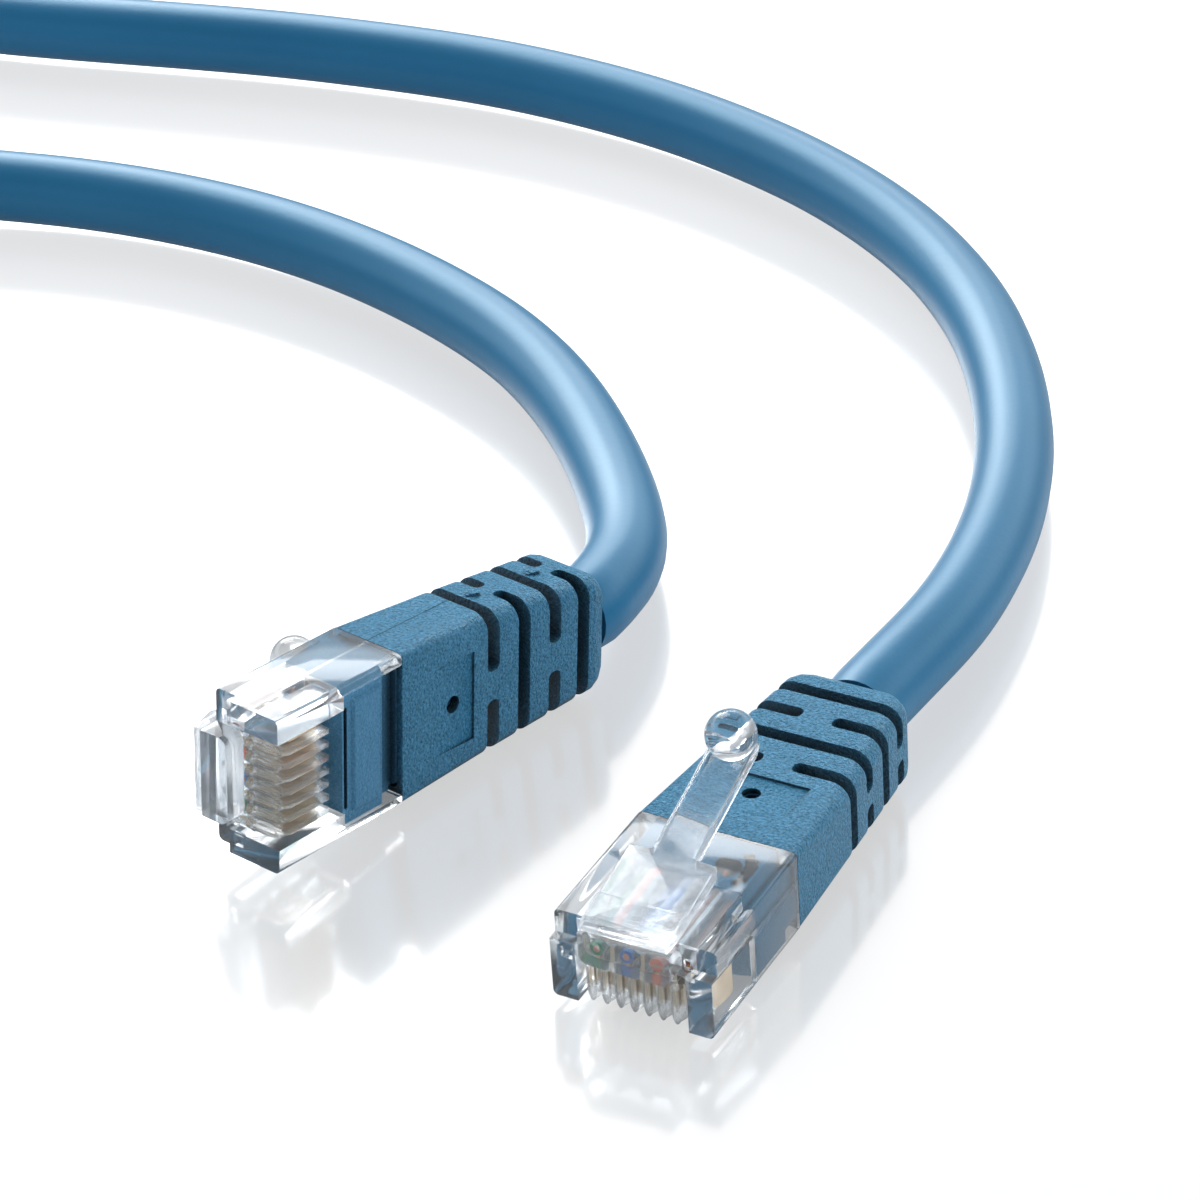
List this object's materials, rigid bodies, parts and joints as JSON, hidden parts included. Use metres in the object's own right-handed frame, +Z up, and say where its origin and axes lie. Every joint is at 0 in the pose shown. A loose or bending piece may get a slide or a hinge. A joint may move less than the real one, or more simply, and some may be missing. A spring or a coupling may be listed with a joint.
{
  "type": "ethernet patch cable",
  "caption": "Ethernet patch cable with clear modular plugs, sprung latch levers, blue moulded strain-relief boots and a round blue cord with its spare length coiled.",
  "frame": {"origin": "centre of the footprint of the two plugs, on the surface they lie on", "axes": "+Z up, -Y out of the nose of plug A, +X to the right of it; plug B lies on its side on the -X side"},
  "size_m": [0.2361, 0.1189, 0.0156],
  "materials": {
    "clear_polycarbonate": "clear polished polycarbonate",
    "blue_mould": "fine grained",
    "blue_boot": "spark-eroded grain",
    "blue_jacket": "smooth satin",
    "gold_contact": "gold plated",
    "black_strap": "woven hook and loop strap",
    "wire_white_green": "polyolefin insulation over copper",
    "wire_green": "polyolefin insulation over copper",
    "wire_white_orange": "polyolefin insulation over copper",
    "wire_blue": "polyolefin insulation over copper",
    "wire_white_blue": "polyolefin insulation over copper",
    "wire_orange": "polyolefin insulation over copper",
    "wire_white_brown": "polyolefin insulation over copper",
    "wire_brown": "polyolefin insulation over copper"
  },
  "bodies": {
    "cable": {"plug_housing_a": "clear_polycarbonate", "load_bar_a": "clear_polycarbonate", "inner_mould_a": "blue_mould", "boot_a": "blue_boot", "jacket_run_a": "blue_jacket", "contact_1_a": "gold_contact", "wire_1_white_green_a": "wire_white_green", "contact_2_a": "gold_contact", "wire_2_green_a": "wire_green", "contact_3_a": "gold_contact", "wire_3_white_orange_a": "wire_white_orange", "contact_4_a": "gold_contact", "wire_4_blue_a": "wire_blue", "contact_5_a": "gold_contact", "wire_5_white_blue_a": "wire_white_blue", "contact_6_a": "gold_contact", "wire_6_orange_a": "wire_orange", "contact_7_a": "gold_contact", "wire_7_white_brown_a": "wire_white_brown", "contact_8_a": "gold_contact", "wire_8_brown_a": "wire_brown", "plug_housing_b": "clear_polycarbonate", "load_bar_b": "clear_polycarbonate", "inner_mould_b": "blue_mould", "boot_b": "blue_boot", "jacket_run_b": "blue_jacket", "contact_1_b": "gold_contact", "wire_1_white_green_b": "wire_white_green", "contact_2_b": "gold_contact", "wire_2_green_b": "wire_green", "contact_3_b": "gold_contact", "wire_3_white_orange_b": "wire_white_orange", "contact_4_b": "gold_contact", "wire_4_blue_b": "wire_blue", "contact_5_b": "gold_contact", "wire_5_white_blue_b": "wire_white_blue", "contact_6_b": "gold_contact", "wire_6_orange_b": "wire_orange", "contact_7_b": "gold_contact", "wire_7_white_brown_b": "wire_white_brown", "contact_8_b": "gold_contact", "wire_8_brown_b": "wire_brown", "cord_stretch_a": "blue_jacket", "cord_coil": "blue_jacket", "cord_stretch_b": "blue_jacket", "coil_tie": "black_strap"},
    "latch_a": {"latch_lever_a": "clear_polycarbonate"},
    "latch_b": {"latch_lever_b": "clear_polycarbonate"}
  },
  "joints": [
    {"name": "latch_press_a", "type": "hinge", "parent": "cable", "child": "latch_a", "pos_m": [0.01635, -0.01684, 0.00658], "axis": [-1, 0, 0], "range_deg": [0, 10], "stiffness_Nm_per_rad": 0.004},
    {"name": "latch_press_b", "type": "hinge", "parent": "cable", "child": "latch_b", "pos_m": [-0.01751, -0.01289, 0.00734], "axis": [-0.0166, -0.0856, -0.9962], "range_deg": [0, 10], "stiffness_Nm_per_rad": 0.004}
  ]
}
